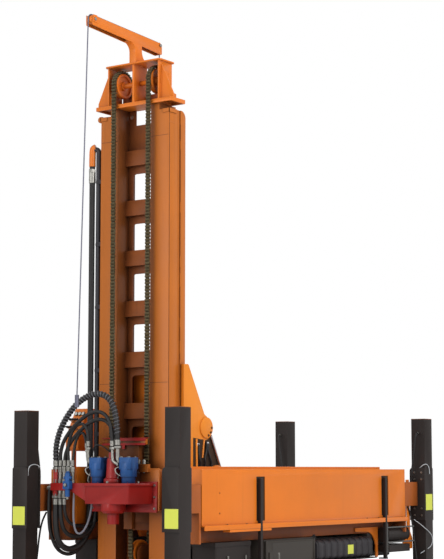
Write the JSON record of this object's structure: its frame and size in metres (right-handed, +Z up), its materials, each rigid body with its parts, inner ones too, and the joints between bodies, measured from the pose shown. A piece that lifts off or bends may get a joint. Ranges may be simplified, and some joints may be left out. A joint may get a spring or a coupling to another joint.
{
  "type": "crawler water well drilling rig",
  "caption": "Tracked water well drilling rig with an upright ladder mast, chain-fed rotary head, side rod trays and hydraulic support legs.",
  "frame": {"origin": "on the ground below the middle of the machine", "axes": "+X forward to the mast end, +Y to the machine's left, +Z up"},
  "size_m": [4.944, 2.1196, 5.876],
  "materials": {
    "orange_paint": "glossy enamel",
    "black_paint": "semi-gloss enamel",
    "red_paint": "glossy enamel",
    "blue_paint": "semi-gloss enamel",
    "grey_paint": "semi-gloss enamel",
    "track_frame_paint": "semi-gloss enamel",
    "black_plastic": "moulded",
    "track_steel": "worn",
    "chain_steel": "oiled",
    "hose_rubber": "smooth",
    "pipe_paint": "semi-gloss enamel",
    "chrome_rod": "polished",
    "ram_steel": "greased",
    "rope_steel": "stranded",
    "muffler_steel": "heat-resistant"
  },
  "bodies": {
    "chassis": {"air_cleaner": "grey_paint", "chassis_frame": "orange_paint", "console": "orange_paint", "deck_plates": "black_paint", "engine_block": "grey_paint", "fuel_tank": "black_plastic", "hydraulic_tank": "grey_paint", "leg_tubes": "black_paint", "mast_brackets": "orange_paint", "muffler": "muffler_steel", "radiator": "grey_paint", "rod_trays": "orange_paint", "side_frames": "orange_paint", "tool_cabinet": "grey_paint", "track_frames": "track_frame_paint", "track_left": "track_steel", "track_right": "track_steel", "tray_posts": "black_paint"},
    "carrier": {"carrier_plates": "orange_paint", "carrier_frame": "orange_paint"},
    "mast": {"mast_columns": "orange_paint", "mast_ladder": "orange_paint", "head_frame": "orange_paint", "feed_wheels": "orange_paint", "feed_chains": "chain_steel", "jib_arm": "orange_paint", "hoist_rope": "rope_steel", "mast_winch": "orange_paint", "rod_clamp": "orange_paint", "mast_pipes": "pipe_paint", "supply_hoses": "hose_rubber"},
    "drill_head": {"carriage": "orange_paint", "gearbox": "red_paint", "swivel": "red_paint", "head_motors": "blue_paint", "manifold": "red_paint", "head_hoses": "hose_rubber"},
    "spindle": {"spindle": "red_paint"},
    "lift_barrels": {"lift_barrels": "orange_paint"},
    "lift_rods": {"lift_rods": "chrome_rod"},
    "cabinet_door": {"cabinet_door": "grey_paint"},
    "ram_front_left": {"leg_ram_front_left": "ram_steel"},
    "ram_front_right": {"leg_ram_front_right": "ram_steel"},
    "ram_rear_left": {"leg_ram_rear_left": "ram_steel"},
    "ram_rear_right": {"leg_ram_rear_right": "ram_steel"}
  },
  "joints": [
    {"name": "mast_tilt", "type": "hinge", "parent": "chassis", "child": "carrier", "pos_m": [1.07, 0, 1.5], "axis": [0, -1, 0], "range_deg": [0, 90]},
    {"name": "mast_slide", "type": "slide", "parent": "carrier", "child": "mast", "axis": [0, 0, 1], "range_m": [-0.15, 0.7]},
    {"name": "feed", "type": "slide", "parent": "mast", "child": "drill_head", "axis": [0, 0, 1], "range_m": [-0.35, 3.2], "deforming": ["supply_hoses"]},
    {"name": "spindle_spin", "type": "hinge", "parent": "drill_head", "child": "spindle", "pos_m": [2.04, 0, 1.1], "axis": [0, 0, 1], "continuous": true},
    {"name": "lift_swing", "type": "hinge", "parent": "chassis", "child": "lift_barrels", "pos_m": [0.1, 0, 0.62], "axis": [0, -1, 0], "range_deg": [-0.5, 13.59]},
    {"name": "lift_stroke", "type": "slide", "parent": "lift_barrels", "child": "lift_rods", "axis": [0.6289, 0, 0.7775], "range_m": [-0.6296, 0.003]},
    {"name": "cabinet_door_hinge", "type": "hinge", "parent": "chassis", "child": "cabinet_door", "pos_m": [-0.082, 0.88, 0.78], "axis": [0, 0, 1], "range_deg": [0, 110]},
    {"name": "leg_front_left", "type": "slide", "parent": "chassis", "child": "ram_front_left", "axis": [0, 0, -1], "range_m": [-0.18, 1]},
    {"name": "leg_front_right", "type": "slide", "parent": "chassis", "child": "ram_front_right", "axis": [0, 0, -1], "range_m": [-0.18, 1]},
    {"name": "leg_rear_left", "type": "slide", "parent": "chassis", "child": "ram_rear_left", "axis": [0, 0, -1], "range_m": [-0.18, 1]},
    {"name": "leg_rear_right", "type": "slide", "parent": "chassis", "child": "ram_rear_right", "axis": [0, 0, -1], "range_m": [-0.18, 1]}
  ],
  "couplings": [
    {"joint": "lift_swing", "follows": "mast_tilt", "ratio": 0.14541},
    {"joint": "lift_stroke", "follows": "mast_tilt", "m_per_rad": -0.3989}
  ]
}
